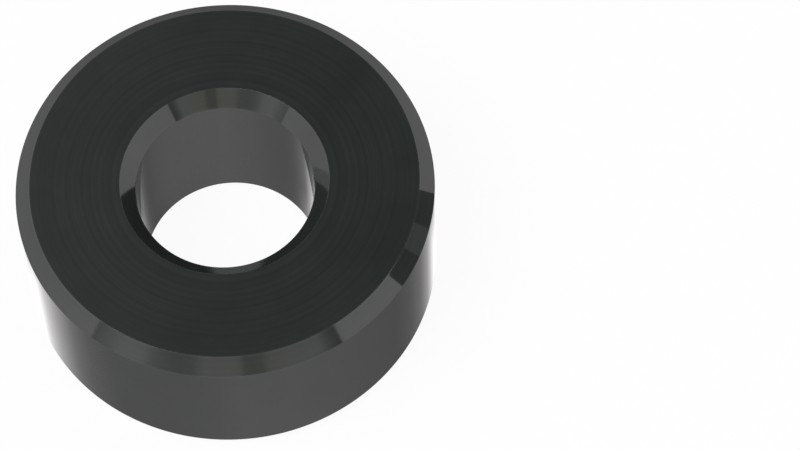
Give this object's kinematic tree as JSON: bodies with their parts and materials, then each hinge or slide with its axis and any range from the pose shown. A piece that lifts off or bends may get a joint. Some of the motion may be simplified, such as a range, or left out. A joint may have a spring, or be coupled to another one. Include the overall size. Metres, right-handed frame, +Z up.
{
  "type": "spacer sleeve",
  "caption": "Thick-walled black plastic spacer sleeve: a short round tube with flat end faces, chamfered outer edges and a chamfered bore mouth, for a shaft or screw.",
  "frame": {"origin": "centre of the foot, the end face that the sleeve stands on, on the bore's axis", "axes": "+Z up along the bore's axis, from the foot to the end face with the chamfered bore mouth; +X and +Y are any two directions across the sleeve, because it is round"},
  "size_m": [0.028, 0.028, 0.012],
  "materials": {
    "black_acetal": "smooth turned black plastic with a soft gloss"
  },
  "bodies": {
    "root": {"sleeve": "black_acetal"}
  },
  "joints": []
}
